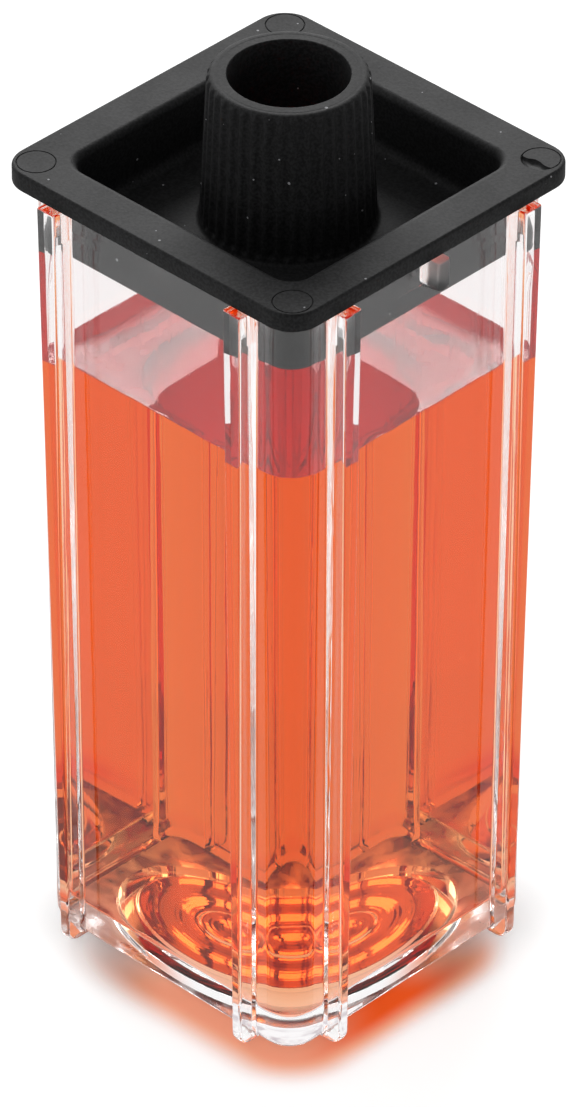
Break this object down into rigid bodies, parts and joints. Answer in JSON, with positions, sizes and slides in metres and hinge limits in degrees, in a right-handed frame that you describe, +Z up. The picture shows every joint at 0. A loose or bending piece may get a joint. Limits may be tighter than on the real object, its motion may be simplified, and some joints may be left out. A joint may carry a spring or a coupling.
{
  "type": "cuvette",
  "caption": "Clear square cuvette with upright outer ribs, a sunken black lid with a fluted filling spout, and a coloured liquid sample inside.",
  "frame": {"origin": "middle of the square that the feet cover, on the surface the cuvette stands on", "axes": "+Z up along the filling hole, +X out of the wall that carries the small orientation boss"},
  "size_m": [0.0126, 0.0126, 0.0304],
  "materials": {
    "clear_plastic": "polished",
    "black_plastic": "satin",
    "orange_liquid": "polished"
  },
  "bodies": {
    "root": {"cuvette_body": "clear_plastic", "lid": "black_plastic", "sample_liquid": "orange_liquid"}
  },
  "joints": []
}
